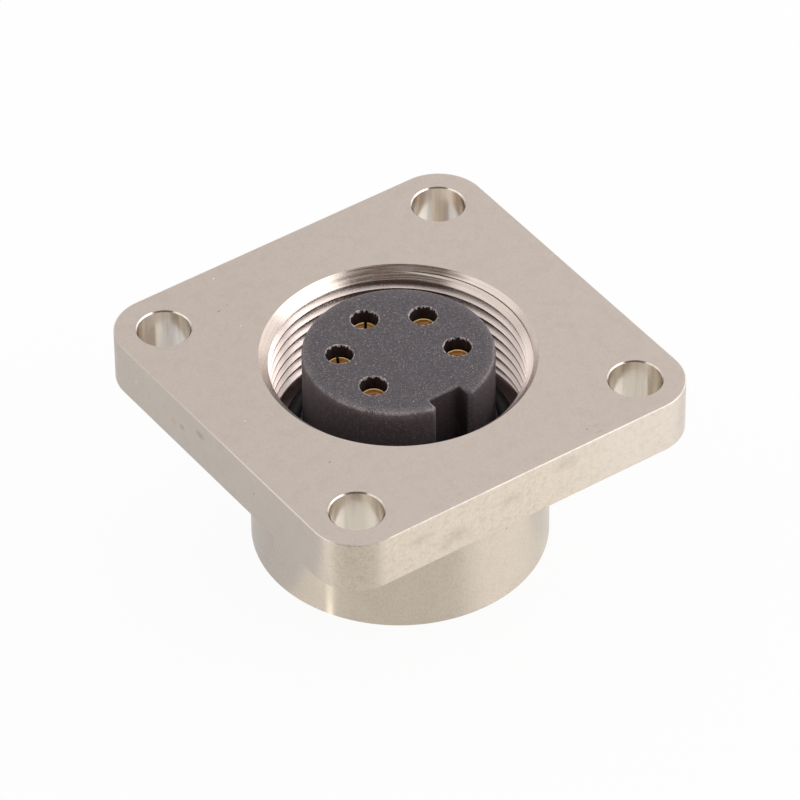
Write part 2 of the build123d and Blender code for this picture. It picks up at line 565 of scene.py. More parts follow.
    def finished(self, shader: Wire) -> bpy.types.Material:
        """Send a shader to the surface and hand over the material."""
        self.node("ShaderNodeOutputMaterial", {"Surface": shader})
        return self.owner


@dataclass(frozen=True)
class Blemish:
    """A small mark in one spot of a surface, full at its core and ragged at its outer edge."""

    centre: Place
    reach: Place
    tone: Colour
    strength: float = 1.0
    core: float = 0.55
    fray: float = 1.0
    outer: float = 1.15

    def mask(self, sheet: Sheet, warp: Wire) -> Wire:
        """How much of the mark is at the place.

        Args:
            sheet: The sheet to draw on.
            warp: Random value about 0 that frays the mark's edge.

        Returns:
            A value from 0 to the mark's strength.
        """
        offset = sheet.vector("SUBTRACT", sheet.place, self.centre)
        x, y, z = sheet.split(sheet.vector("DIVIDE", offset, self.reach))
        distance = sheet.math("SQRT", x * x + y * y + z * z) + warp * self.fray
        return sheet.ramp(distance, self.outer, self.core) * self.strength


DARK = (0.20, 0.16, 0.13)
BROWN = (0.36, 0.29, 0.22)
SMOKE = (0.42, 0.36, 0.31)
PALE = (0.96, 0.93, 0.90)
REDDISH_REFLECTION = (0.58, 0.40, 0.37)
TAN = (0.44, 0.31, 0.21)
SHELL_MARKS = (
    Blemish((-6.44, 9.42, 13.7), (0.16, 0.035, 0.1), DARK),
    Blemish((-5.01, 12.12, 13.7), (0.05, 0.07, 0.1), PALE),
    Blemish((-6.17, 7.53, 13.7), (0.05, 0.05, 0.1), PALE, 0.8),
    Blemish((-5.74, 9.61, 13.7), (0.08, 0.06, 0.1), BROWN, 0.6),
    Blemish((-8.84, -5.59, 13.7), (0.10, 0.05, 0.1), DARK, 0.7),
    Blemish((-10.78, 0.26, 13.7), (0.05, 0.05, 0.1), PALE),
    Blemish((5.0, -11.98, 13.7), (0.07, 0.05, 0.1), DARK, 0.8),
    Blemish((5.66, -11.98, 13.7), (0.36, 0.20, 0.1), BROWN, 0.20, 0.0, 0.6),
    Blemish((5.47, -12.57, 13.7), (0.40, 0.16, 0.1), BROWN, 0.20, 0.0, 0.6),
    Blemish((-13.0, 1.74, 12.69), (0.1, 0.56, 0.30), TAN, 0.60, 0.1, 0.8),
    Blemish((-13.0, 3.68, 11.95), (0.1, 0.34, 0.26), TAN, 0.55, 0.1, 0.8),
    Blemish((-13.0, 4.5, 11.8), (0.1, 0.30, 0.25), TAN, 0.32, 0.1, 0.8),
    Blemish((-13.0, -3.85, 12.15), (0.1, 0.07, 0.07), DARK, 0.8),
    Blemish((-13.0, 8.57, 12.01), (0.1, 0.05, 0.09), PALE),
    Blemish((2.8, -13.0, 12.93), (1.3, 0.1, 0.55), SMOKE, 0.34, 0.0, 0.45),
    Blemish((-5.0, -13.0, 11.45), (1.1, 0.1, 0.75), SMOKE, 0.40, 0.0, 0.45),
    Blemish((-5.9, -13.0, 11.0), (0.6, 0.1, 0.45), SMOKE, 0.34, 0.0, 0.45),
    Blemish((-7.6, -13.0, 12.4), (1.2, 0.1, 0.50), SMOKE, 0.30, 0.0, 0.35),
    Blemish((-1.2, -13.0, 12.2), (1.0, 0.1, 0.60), SMOKE, 0.30, 0.0, 0.35),
    Blemish((-11.9, -12.3, 12.75), (0.95, 0.7, 0.20), BROWN, 0.09, 0.0, 0.25),
    Blemish((-12.1, -12.2, 12.35), (0.60, 0.6, 0.14), BROWN, 0.09, 0.0, 0.25),
    Blemish((-11.9, -12.3, 11.9), (0.95, 0.7, 0.20), BROWN, 0.09, 0.0, 0.25),
    Blemish((-11.5, -12.5, 11.2), (0.70, 0.6, 0.26), BROWN, 0.12, 0.0, 0.25),
    # Painted reddish reflection at the far point of the mouth's chamfer
    Blemish((3.53, 7.12, 13.35), (0.42, 0.42, 0.7), REDDISH_REFLECTION, 0.6),
)


class Cuts(NamedTuple):
    """How each part of the shell was cut, as masks from 0 to 1."""

    flat: Wire
    below: Wire
    turned: Wire
    body: Wire
    threaded: Wire
    chamfered: Wire
    relief: Wire
    drilled_painted_light: Wire
    milled: Wire


class Wear(NamedTuple):
    """Where the shell is worn, as masks from 0 to 1."""

    handled: Wire
    grubby: Wire
    tarnished: Wire
    sown: Wire
    far: Wire
    edges: Wire
    corner: Wire
    pits: Wire


class Patterns(NamedTuple):
    """Random values about 0.5 over the shell."""

    clouds: Wire
    patches: Wire
    blotches: Wire
    bands: Wire
    streaks: Wire
    strokes: Wire
    speckle: Wire
    specks: Wire
    lines: Wire
    grain: Wire


@dataclass(frozen=True)
class NickelPlate:
    """Satin nickel on a machined brass shell.

    Flat faces are ground, the flange's sides are milled with upright lines, and all
    that is round about the axis is turned. The keyway's side was handled most.
    """

    mouth_radius: float
    mouth_bottom: float
    relief_top: float
    floor_height: float
    flange_rear: float
    flange_face: float
    hole_spacing: float
    hole_radius: float
    colour: Colour = (0.655, 0.573, 0.503)
    # Thread colour, lighter than the plate: painted light
    cloud: Colour = (0.632, 0.551, 0.481)
    thread: Colour = (0.89, 0.75, 0.695)
    # Screw hole walls are painted lighter than the plate, and the two holes at +Y lighter still:
    # painted light
    drilled_painted_light: Colour = (0.71, 0.640, 0.577)
    back_holes_painted_light: Colour = (0.80, 0.728, 0.658)
    handled: Colour = (0.705, 0.617, 0.535)
    wiped: Colour = (0.715, 0.640, 0.575)
    # Painted highlight on the flange's top edges, also the colour of random pale specks
    edge_highlight_and_specks: Colour = (0.88, 0.795, 0.735)
    # Painted shade for the thread relief
    relief_painted_shade: Colour = (0.57, 0.50, 0.50)
    ground: Colour = (0.646, 0.556, 0.497)
    # Colour of stains and of painted shade
    stain_and_shade_colour: Colour = (0.30, 0.235, 0.18)
    ground_roughness: float = 0.33
    drilled_roughness: float = 0.20
    turned_roughness: float = 0.28
    milled_roughness: float = 0.36
    line_stretch: float = 0.85
    quarter_turn: float = 0.25

    def build(self) -> bpy.types.Material:
        """Draw the material.

        Returns:
            The material.
        """
        sheet = Sheet.new("satin_nickel_plate")
        cuts = self.cuts(sheet)
        wear = self.wear(sheet, cuts)
        patterns = self.patterns(sheet)
        look = {
            "Base Color": self.tone(sheet, cuts, wear, patterns),
            "Metallic": 1.0,
            "Normal": sheet.bump(self.height(cuts, wear, patterns)),
        }
        shift = (patterns.grain - 0.5) * (0.08 - 0.06 * cuts.below)
        hole_step = self.drilled_roughness - self.ground_roughness
        smooth = self.ground_roughness + hole_step * cuts.drilled_painted_light
        even = sheet.principled({**look, "Roughness": smooth + shift})
        milled_step = self.milled_roughness - self.turned_roughness
        cut = self.turned_roughness + milled_step * cuts.milled
        lined = {
            "Roughness": cut + shift + wear.edges * (0.15 + wear.corner * 0.35),
            "Anisotropic": self.line_stretch,
            "Anisotropic Rotation": self.quarter_turn,
        }
        lined = sheet.principled({**look, **lined})
        return sheet.finished(sheet.blend((1 - cuts.flat) * (1 - cuts.drilled_painted_light), even, lined))

    def cuts(self, sheet: Sheet) -> Cuts:
        """Work out how each part was cut.

        Args:
            sheet: The sheet to draw on.

        Returns:
            The masks.
        """
        x, y, z = sheet.xyz
        flat = sheet.ramp(abs(sheet.up), 0.9, 0.98)
        inside = sheet.ramp(sheet.radius, self.mouth_radius + 0.06, self.mouth_radius + 0.02)
        below = sheet.ramp(z, self.flange_rear + 0.02, self.flange_rear - 0.02)
        turned = sheet.math("MAXIMUM", inside, below)
        front = inside * sheet.ramp(z, self.floor_height - 0.2, self.floor_height - 0.1)
        threaded = front * sheet.ramp(z, self.mouth_bottom + 0.1, self.mouth_bottom - 0.1)
        half = self.hole_spacing / 2
        hole_distance = sheet.length(abs(x) - half, abs(y) - half)
        drilled_painted_light = sheet.ramp(hole_distance, self.hole_radius + 0.25, self.hole_radius + 0.15)
        return Cuts(
            flat=flat,
            below=below,
            turned=turned,
            body=below * (1 - inside),
            threaded=threaded,
            chamfered=(front - threaded) * (1 - flat),
            relief=front * sheet.ramp(z, self.relief_top + 0.03, self.relief_top - 0.03),
            drilled_painted_light=drilled_painted_light,
            milled=(1 - flat) * (1 - turned) * (1 - drilled_painted_light),
        )

    def wear(self, sheet: Sheet, cuts: Cuts) -> Wear:
        """Work out where the shell is worn.

        Args:
            sheet: The sheet to draw on.
            cuts: How each part was cut.

        Returns:
            The masks.
        """
        x, y, z = sheet.xyz
        handled = cuts.milled * sheet.ramp(y, -9.5, -12.0)
        grubby = sheet.ramp(x, 8.0, 0.0)
        sown = cuts.flat * 0.07 + cuts.body * 0.16 + cuts.milled * 0.06
        corner = sheet.ramp(sheet.along(KEYWAY_CORNER), 16.0, 16.2)
        pit, chance = sheet.cells(0.55)
        pits = sheet.ramp(pit + sheet.noise(9, 2) * 0.09, 0.085, 0.065)
        return Wear(
            handled=handled,
            grubby=grubby,
            tarnished=cuts.body * 0.06 + cuts.milled * 0.25,
            sown=sown + handled * grubby * 0.10,
            far=sheet.ramp(sheet.along(FAR_SIDE), 6.7, 7.6),
            edges=cuts.milled * sheet.ramp(z, self.flange_face - 0.085, self.flange_face - 0.05),
            corner=corner * sheet.ramp(x - y, -1.2, -0.6),
            pits=pits * sheet.ramp(chance, 0.62, 0.7) * (1 - cuts.flat),
        )

    def patterns(self, sheet: Sheet) -> Patterns:
        """Draw the patterns that tools and handling leave.

        Args:
            sheet: The sheet to draw on.

        Returns:
            The patterns.
        """
        x, y, z = sheet.xyz
        slanted = sheet.join(x * 1.5 + z * 0.9, y * 1.5, z * 1.9 - x * 0.7)
        leaning = sheet.join(x * 9 + z * 3, y * 9, z * 0.9)
        # Turned lines run round the axis and change slowly along themselves
        round_x, round_y, _ = sheet.split(sheet.vector("NORMALIZE", sheet.join(x, y, 0.0)))
        turned = sheet.join((z + sheet.radius * 0.8) * 6.2, round_x * 1.3, round_y * 1.3)
        return Patterns(
            clouds=sheet.noise(0.55, 4, 0.6),
            patches=sheet.noise(1.1, 3, 0.6),
            blotches=sheet.noise(1.5, 2, 0.6, slanted),
            bands=sheet.noise(1, 3, 0.6, sheet.join(x * 1.6, y * 1.6, z * 0.12)),
            streaks=sheet.noise(1, 2, 0.6, sheet.join(x * 2.4, y * 2.4, z * 0.15)),
            strokes=sheet.noise(1, 4, 0.7, leaning),
            speckle=sheet.noise(5.5, 4, 0.75),
            specks=sheet.noise(7.5, 2, 0.8),
            lines=sheet.noise(1, 3, 0.7, turned),
            grain=sheet.noise(16, 3),
        )

    @staticmethod
    def height(cuts: Cuts, wear: Wear, patterns: Patterns) -> Wire:
        """Relief of the tool marks and pits.

        Args:
            cuts: How each part was cut.
            wear: Where it is worn.
            patterns: The patterns on it.

        Returns:
            The height in millimetres.
        """
        lined = 0.0030 * cuts.turned + (0.004 + 0.007 * wear.far) * cuts.chamfered
        return (
            patterns.clouds * 0.010
            + patterns.grain * (0.0011 + 0.0018 * cuts.flat) * (1 - cuts.turned)
            + patterns.speckle * 0.0050 * wear.tarnished
            + patterns.lines * lined
            + patterns.strokes * 0.0050 * cuts.milled
            + patterns.bands * 0.020 * cuts.milled
            + patterns.blotches * (0.004 * cuts.milled + 0.002 * wear.handled)
            - wear.pits * 0.01
        )

    @staticmethod
    def stain_and_shade_share(sheet: Sheet, cuts: Cuts, wear: Wear, patterns: Patterns) -> Wire:
        """How stained each place is, with painted shade on the chamfer's far side and on flat faces
        towards the camera's left.

        Args:
            sheet: The sheet to draw on.
            cuts: How each part was cut.
            wear: Where it is worn.
            patterns: The patterns on it.

        Returns:
            The share of stain and painted shade, from 0 to 1.
        """
        scores_and_far_shade = sheet.ramp(patterns.lines, 0.46, 0.62) * 0.14
        # On the chamfer's far side the scores are much darker: turned marks, together with painted
        # shade
        scores_and_far_shade = scores_and_far_shade + sheet.ramp(patterns.lines, 0.49, 0.54) * wear.far * 0.72
        # Painted shade on flat faces, darker towards the camera's left, with random speckle and
        # patches
        dull = sheet.ramp(sheet.along(CAMERA_LEFT_SIDE), -5.0, 12.0) * 0.06
        dull = dull + sheet.ramp(patterns.speckle, 0.40, 0.62) * 0.05
        dull = dull + sheet.ramp(patterns.patches, 0.46, 0.64) * 0.05
        return (
            sheet.ramp(patterns.blotches, 0.42, 0.80) * (cuts.milled * 0.06 + wear.handled * 0.11)
            + sheet.ramp(patterns.speckle, 0.45, 0.75) * wear.tarnished * 0.15
            + sheet.ramp(patterns.specks, 0.48, 0.68) * wear.sown
            + sheet.ramp(patterns.streaks, 0.47, 0.62) * cuts.drilled_painted_light * (1 - cuts.flat) * 0.14
            + scores_and_far_shade * cuts.chamfered
            + dull * cuts.flat
            + wear.pits * 0.75
        )

    def tone(self, sheet: Sheet, cuts: Cuts, wear: Wear, patterns: Patterns) -> Wire:
        """Colour of the plate with its wear, stains and marks, and with painted light and shade.

        Args:
            sheet: The sheet to draw on.
            cuts: How each part was cut.
            wear: Where it is worn.
            patterns: The patterns on it.

        Returns:
            The colour.
        """
        y = sheet.xyz[1]
        # Painted highlight along the top edges of the flange's sides, strongest towards -Y; random
        # pale specks share its colour
        painted_edge_highlight = wear.edges * (0.30 + sheet.ramp(y, 7.0, -6.0) * 0.65)
        glints = sheet.ramp(patterns.specks, 0.50, 0.32) * wear.sown
        # Painted light on the screw holes' walls, stronger in the two holes at +Y
        hole = sheet.mix(sheet.ramp(y, -1.0, 1.0), self.drilled_painted_light, self.back_holes_painted_light)
        warp = (sheet.noise(13, 2) - 0.5) * 1.4
        coats = [
            (cuts.flat * 0.75, self.ground),
            (wear.handled, sheet.mix(wear.grubby, self.wiped, self.handled)),
            (sheet.math("MAXIMUM", painted_edge_highlight, glints), self.edge_highlight_and_specks),
            # Painted light: the thread is coloured lighter than the plate, and the mouth's chamfer
            # is too, in part
            (cuts.threaded + cuts.chamfered * 0.45, self.thread),
            # Painted shade in the thread relief
            (cuts.relief, self.relief_painted_shade),
            (cuts.drilled_painted_light * (1 - cuts.flat), hole),
            # Stains, with painted shade on the far chamfer and on flat faces towards the camera's
            # left
            (self.stain_and_shade_share(sheet, cuts, wear, patterns), self.stain_and_shade_colour),
        ]
        coats += [(mark.mask(sheet, warp), mark.tone) for mark in SHELL_MARKS]
        base = sheet.mix(sheet.ramp(patterns.clouds, 0.35, 0.7), self.colour, self.cloud)
        return sheet.coats(base, coats)


@dataclass(frozen=True)
class Moulding:
    """Black glass-filled moulding with pale flecks, scuffed edges with a painted highlight, and
    smooth cavities darkened with painted shade.
    """

    hole_circle_radius: float
    hole_radius: float
    face_height: float
    nose_radius: float
    keyway_half: float
    keyway_wall: float
    colour: Colour = (0.060, 0.050, 0.056)
    ashen: Colour = (0.105, 0.090, 0.098)
    fleck: Colour = (0.42, 0.37, 0.39)
    rosy: Colour = (0.44, 0.31, 0.37)
    # Colour of the rim's scuffs and of the highlight painted with them
    scuff_and_highlight_colour: Colour = (0.24, 0.20, 0.19)
    rim: Colour = (0.58, 0.50, 0.48)
    # Dark colour of the hole walls, partly their smooth unflecked skin and partly painted shade;
    # also painted shade on the keyway's walls
    cavity: Colour = (0.020, 0.011, 0.012)
    roughness: float = 0.55
    side_roughness: float = 0.40
    cavity_roughness: float = 0.50

    def build(self) -> bpy.types.Material:
        """Draw the material.

        Returns:
            The material.
        """
        sheet = Sheet.new("glass_filled_moulding")
        upright = 1 - sheet.ramp(abs(sheet.up), 0.1, 0.5)
        grain = sheet.noise(9, 4, 0.7)
        mottle = sheet.ramp(sheet.noise(6.5, 3, 0.75), 0.38, 0.68)
        flecks = self.flecks(sheet) * (1 - upright * 0.35)
        rosiness = sheet.ramp(sheet.noise(7, 1), 0.45, 0.58)
        distance = self.hole_distance(sheet)
        cavity = self.cavities(sheet, distance)
        walls, corners = self.keyway(sheet, grain)
        scuffs_and_highlights, dust = self.scuffs_and_highlights(sheet, grain)
        coats = (
            (flecks, sheet.mix(rosiness, self.fleck, self.rosy)),
            # Scuffs with a painted highlight along the nose's rim and on the keyway's mouth corners
            (scuffs_and_highlights + corners * upright * 0.35, self.scuff_and_highlight_colour),
            (dust, self.fleck),
            (self.rims(sheet, distance), self.rim),
            # Painted shade on the keyway's walls
            (walls * upright * 0.50, self.cavity),
            # The contact holes' walls: smooth moulding without flecks, darkened further with painted
            # shade
            (cavity, self.cavity),
        )
        waves = sheet.noise(1.4, 2) * 0.02 * sheet.ramp(sheet.up, 0.55, 0.95)
        height = grain * 0.010 + flecks * 0.004 + waves
        rough = self.roughness + (self.side_roughness - self.roughness) * upright
        rough = rough + (grain - 0.5) * 0.3
        look = {
            "Base Color": sheet.coats(sheet.mix(mottle * 0.75, self.colour, self.ashen), coats),
            "Roughness": rough + (self.cavity_roughness - rough) * cavity,
            "Normal": sheet.bump(height * (1 - cavity)),
        }
        return sheet.finished(sheet.principled(look))

    def cavities(self, sheet: Sheet, distance: Wire) -> Wire:
        """Wall of the contact holes, which starts at a ragged line below the face.

        Args:
            sheet: The sheet to draw on.
            distance: Distance from the nearest hole's axis.

        Returns:
            1 on the wall and 0 elsewhere.
        """
        x, y, z = sheet.xyz
        teeth = sheet.ramp(sheet.noise(1, 2, at=sheet.join(x * 6, y * 6, z * 0.5)), 0.38, 0.62)
        sunk = sheet.ramp(z + teeth * 0.20, self.face_height + 0.02, self.face_height - 0.01)
        return sheet.ramp(distance, self.hole_radius + 0.03, self.hole_radius) * sunk

    def keyway(self, sheet: Sheet, grain: Wire) -> Tuple[Wire, Wire]:
        """Walls of the keyway, where shade is painted, and corners of its mouth.

        Args:
            sheet: The sheet to draw on.
            grain: Random value that breaks up the corners.

        Returns:
            How much of the walls and of the corners is at the place, from 0 to 1.
        """
        x, y, _ = sheet.xyz
        side = abs(x) - self.keyway_half
        walls = sheet.ramp(side, 0.08, 0.02) * sheet.ramp(y - self.keyway_wall, 0.06, 0.0)
        outer = sheet.ramp(sheet.radius, self.nose_radius - 0.344, self.nose_radius - 0.194)
        corners = sheet.ramp(abs(side - 0.1), 0.14, 0.05) * outer
        return walls, corners * sheet.ramp(y, 0.0, -1.0) * sheet.ramp(grain, 0.40, 0.60)

    def scuffs_and_highlights(self, sheet: Sheet, grain: Wire) -> Tuple[Wire, Wire]:
        """Scuffs with a painted highlight, and dust, along the nose's rim, strongest on the side
        towards the camera.

        Args:
            sheet: The sheet to draw on.
            grain: Random value that breaks up the scuffs.

        Returns:
            How scuffed and how dusty the place is, from 0 to 1.
        """
        z = sheet.xyz[2]
        edge = sheet.ramp(sheet.up, 0.3, 0.62) * sheet.ramp(sheet.up, 0.995, 0.93)
        band = sheet.ramp(sheet.radius, self.nose_radius - 0.7, self.nose_radius)
        band = band * sheet.ramp(z, self.face_height - 0.75, self.face_height)
        # Strongest on the side towards the camera, where the rim's highlight is painted
        handled = sheet.ramp(sheet.along(CAMERA_SIDE), 3.6, 5.3)
        scuffs_and_highlights = (edge * 0.7 + band * 0.45) * (0.35 + sheet.ramp(grain, 0.42, 0.66))
        scuffs_and_highlights = scuffs_and_highlights * sheet.ramp(sheet.noise(0.8, 3), 0.34, 0.56)
        dust = sheet.ramp(sheet.noise(12, 2), 0.52, 0.62) * (edge + band)
        return scuffs_and_highlights * (0.50 + handled * 0.60), dust * (0.20 + handled * 0.12)

    @staticmethod
    def flecks(sheet: Sheet) -> Wire:
        """Fine glass flecks, a few of them large.

        Args:
            sheet: The sheet to draw on.

        Returns:
            How much of a fleck is at the place, from 0 to 1.
        """
        fine, fine_chance = sheet.cells(10.5)
        usual, usual_chance = sheet.cells(6.5)
        large, large_chance = sheet.cells(2.6)
        fine = sheet.ramp(fine, 0.46, 0.20) * sheet.ramp(fine_chance, 0.35, 1.0) * 0.50
        usual = sheet.ramp(usual, 0.34, 0.16) * sheet.ramp(usual_chance, 0.6, 1.0) * 0.58
        large = sheet.ramp(large, 0.16, 0.08) * sheet.ramp(large_chance, 0.8, 0.95) * 0.9
        return sheet.math("MAXIMUM", sheet.math("MAXIMUM", fine, usual), large)

    def hole_distance(self, sheet: Sheet) -> Wire:
        """Distance from the nearest contact hole's axis.

        Args:
            sheet: The sheet to draw on.

        Returns:
            The distance in millimetres.
        """
        x, y, _ = sheet.xyz
        sixth = math.pi / 3
        angle = sheet.math("ARCTAN2", y, x) + sixth / 2
        folded = sheet.math("PINGPONG", angle, sixth / 2)
        local = sheet.math("COSINE", folded) * sheet.radius * (-2 * self.hole_circle_radius)
        square = sheet.radius * sheet.radius + local + self.hole_circle_radius**2
        # The sixth place, on the keyway's side, has no hole
        key_side = sheet.ramp(y, -1.8, -2.4) * sheet.ramp(abs(x), 1.6, 1.4)
        return sheet.math("SQRT", square) + key_side * self.hole_circle_radius

    def rims(self, sheet: Sheet, distance: Wire) -> Wire:
        """Pale torn edge round each contact hole's mouth.

        Args:
            sheet: The sheet to draw on.
            distance: Distance from the nearest hole's axis.

        Returns:
            How pale the edge is, from 0 to 1.
        """
        ragged = distance - (sheet.noise(12, 2) - 0.5) * 0.24
        edge = sheet.ramp(ragged, self.hole_radius + 0.075, self.hole_radius + 0.025)
        top = sheet.ramp(sheet.xyz[2], self.face_height - 0.26, self.face_height - 0.10)
        return edge * top * sheet.ramp(sheet.noise(5.5, 3), 0.34, 0.56)


@dataclass(frozen=True)
class GoldPlate:
    """Gold on turned contacts."""

    tip_height: float
    colour: Colour = (0.95, 0.60, 0.29)
    worn: Colour = (0.88, 0.52, 0.22)
    lip: Colour = (0.92, 0.58, 0.23)
    roughness: float = 0.36

    def build(self) -> bpy.types.Material:
        """Draw the material.

        Returns:
            The material.
        """
        sheet = Sheet.new("gold_plate")
        x, y, z = sheet.xyz
        lines = sheet.noise(1, 2, 0.6, sheet.join(x * 0.8, y * 0.8, z * 8))
        base = sheet.mix(sheet.ramp(sheet.noise(2.3, 3), 0.4, 0.7), self.colour, self.worn)
        tip = sheet.ramp(z, self.tip_height - 0.06, self.tip_height - 0.03)
        look = {
            "Base Color": sheet.mix(tip, base, self.lip),
            "Metallic": 1.0,
            "Roughness": self.roughness + (lines - 0.5) * 0.2,
            "Normal": sheet.bump(lines * 0.004 + sheet.noise(12, 2) * 0.0005),
        }
        return sheet.finished(sheet.principled(look))


@dataclass(frozen=True)
class SealRubber:
    """Black elastomer with a faint bloom."""

    colour: Colour = (0.030, 0.027, 0.030)
    bloom: Colour = (0.060, 0.056, 0.062)
    roughness: float = 0.50

    def build(self) -> bpy.types.Material:
        """Draw the material.

        Returns:
            The material.
        """
        sheet = Sheet.new("seal_rubber")
        bloom = sheet.noise(1.6, 4, 0.65)
        look = {
            "Base Color": sheet.mix(sheet.ramp(bloom, 0.4, 0.7), self.colour, self.bloom),
            "Roughness": self.roughness + (bloom - 0.5) * 0.25,
            "Normal": sheet.bump(sheet.noise(10, 3) * 0.004),
        }
        return sheet.finished(sheet.principled(look))


@dataclass(frozen=True)
class SpringSteel:
    """Stamped spring steel with a phosphate grey."""

    colour: Colour = (0.30, 0.30, 0.31)
    dull: Colour = (0.20, 0.20, 0.21)
    roughness: float = 0.36

    def build(self) -> bpy.types.Material:
        """Draw the material.

        Returns:
            The material.
        """
        sheet = Sheet.new("spring_steel")
        clouds = sheet.ramp(sheet.noise(1.8, 4, 0.65), 0.4, 0.7)
        grain = sheet.noise(14, 3)
        look = {
            "Base Color": sheet.mix(clouds, self.colour, self.dull),
            "Metallic": 1.0,
            "Roughness": self.roughness + (grain - 0.5) * 0.2,
            "Normal": sheet.bump(grain * 0.002),
        }
        return sheet.finished(sheet.principled(look))


@dataclass
class Shell:
    """Square flange and threaded barrel, machined from one bar."""

    flange_side: float
    flange_face: float
    flange_thickness: float = 3.5
    flange_corner: float = 3.0
    flange_edge: float = 0.09
    hole_spacing: float = 20.0
    hole_radius: float = 1.6
    hole_edge: float = 0.08
    barrel_radius: float = 9.0
    barrel_edge: float = 0.15
    mouth_radius: float = 8.3
    thread_pitch: float = 0.75
    thread_root_radius: float = 8.0
    thread_crest_radius: float = 7.594
    thread_crest_flat: float = 0.10
    thread_root_round: float = 0.018
    thread_overrun: float = 0.06
    thread_start_angle: float = 81.0
    thread_start_height: float = 7.52
    thread_turns: int = 9
    relief_radius: float = 8.1
    relief_top: float = 7.85
    floor_height: float = 7.2
    web_rear: float = 6.0
    web_bore_radius: float = 6.004
    rear_bore_radius: float = 7.5
    groove_radius: float = 7.9
    groove_bottom: float = 1.9
    groove_top: float = 3.0
    slot_width: float = 1.6
    slot_depth: float = 0.5
    round_steps: int = 192
    barrel_steps: int = 384
    hole_steps: int = 72
    corner_steps: int = 20
    edge_steps: int = 7
    smooth_below: float = 14.0
    overrun: float = 0.4
    flank_slope: float = field(default=math.tan(math.radians(30)), init=False)

    @property
    def flange_rear(self) -> float:
        """Height of the flange's rear face."""
        return self.flange_face - self.flange_thickness

    def build(self) -> bpy.types.Object:
        """Machine the shell.

        Returns:
            The finished piece, in metres.
        """
        piece = self.plate()
        Bench.combine(piece, self.barrel(), "UNION")
        bores = [self.front_bore(), self.rear_bore(), self.index_slot(), self.thread_groove()]
        Bench.cut(piece, bores + self.screw_holes())
        Bench.finish(piece, "threaded_shell", math.radians(self.smooth_below))
        return piece

    def plate(self) -> bpy.types.Object:
        """Square plate with rounded corners and broken edges.

        Returns:
            The plate.
        """
        side = self.flange_side
        centre = (0, 0, self.flange_face - self.flange_thickness / 2)
        piece = Bench.block("flange_plate", (side, side, self.flange_thickness), centre)
        with Bench.editing(piece, "EDGE"):
            Bench.pick(piece, "EDGE", lambda a, b: abs(a.z - b.z) > self.flange_thickness / 2)
            bpy.ops.mesh.bevel(offset=self.flange_corner, segments=self.corner_steps)
            bpy.ops.mesh.select_all(action="DESELECT")
            Bench.pick(piece, "EDGE", lambda a, b: abs(a.z - b.z) < MERGE)
            bpy.ops.mesh.bevel(offset=self.flange_edge, segments=self.edge_steps)
        return piece

    def barrel(self) -> bpy.types.Object:
        """Round body that ends inside the plate.

        Returns:
            The body.
        """
        radius, edge = self.barrel_radius, self.barrel_edge
        top = self.flange_rear + self.overrun
        profile = [(radius - edge, 0), (radius, edge), (radius, top)]
        return Bench.turn("barrel_blank", profile, self.barrel_steps)

    def front_bore(self) -> bpy.types.Object:
        """Cutter for the mouth's chamfer, the thread's bore and its relief.

        Returns:
            The cutter.
        """
        mouth_depth = self.mouth_radius - self.thread_crest_radius
        profile = [
            (self.relief_radius, self.floor_height),
            (self.relief_radius, self.relief_top),
            (self.thread_crest_radius, self.relief_top),
            (self.thread_crest_radius, self.flange_face - mouth_depth),
            (self.mouth_radius + self.overrun, self.flange_face + self.overrun),
        ]
        return Bench.turn("front_bore", profile, self.round_steps)

    def rear_bore(self) -> bpy.types.Object:
        """Cutter for the rear bore, the ring groove and the hole in the web.

        Returns:
            The cutter.
        """
        bore, edge, over = self.rear_bore_radius, self.barrel_edge, self.overrun
        profile = [
            (bore + edge + over, -over),
            (bore, edge),
            (bore, self.groove_bottom),
            (self.groove_radius, self.groove_bottom),
            (self.groove_radius, self.groove_top),
            (bore, self.groove_top),
            (bore, self.web_rear),
            (self.web_bore_radius, self.web_rear),
            (self.web_bore_radius, self.floor_height + over),
        ]
        return Bench.turn("rear_bore", profile, self.round_steps)

    def index_slot(self) -> bpy.types.Object:
        """Cutter for the slot that the mouldings' lugs slide in.

        Returns:
            The cutter.
        """
        outer = self.rear_bore_radius + self.slot_depth
        inner = self.web_bore_radius
        height = self.web_rear + self.overrun
        size = (self.slot_width, outer - inner, height)
        centre = (0, (outer + inner) / 2, self.web_rear - height / 2)
        return Bench.block("index_slot", size, centre)

    def thread_groove(self) -> bpy.types.Object:
        """Cutter for the helical groove, a V section with a rounded root.

        Returns:
            The cutter.
        """
        inner = self.thread_crest_radius - self.thread_overrun
        mouth = self.thread_pitch - self.thread_crest_flat
        mouth += 2 * self.thread_overrun * self.flank_slope
        depth = self.thread_root_radius - inner
        root = mouth - 2 * depth * self.flank_slope
        Bench.clear()
        bpy.ops.mesh.primitive_plane_add(
            size=1,
            location=(inner + depth / 2, 0, self.thread_start_height),
            rotation=(math.pi / 2, 0, 0),
        )
        bpy.context.object.scale = (depth, mouth, 1)
        piece = Bench.named("thread_groove")
        with Bench.editing(piece, "VERT"):
            Bench.pick(piece, "VERT", lambda place: place.x > inner + depth / 2)
            centre = (self.thread_root_radius, 0, self.thread_start_height)
            bpy.ops.transform.resize(value=(1, 1, root / mouth), center_override=centre)
            bpy.ops.mesh.bevel(offset=self.thread_root_round, segments=2, affect="VERTICES")
            bpy.ops.mesh.select_all(action="SELECT")
            bpy.ops.mesh.delete(type="ONLY_FACE")
        self.wind(piece)
        Bench.turn_about_axis(piece, math.radians(self.thread_start_angle))
        return piece

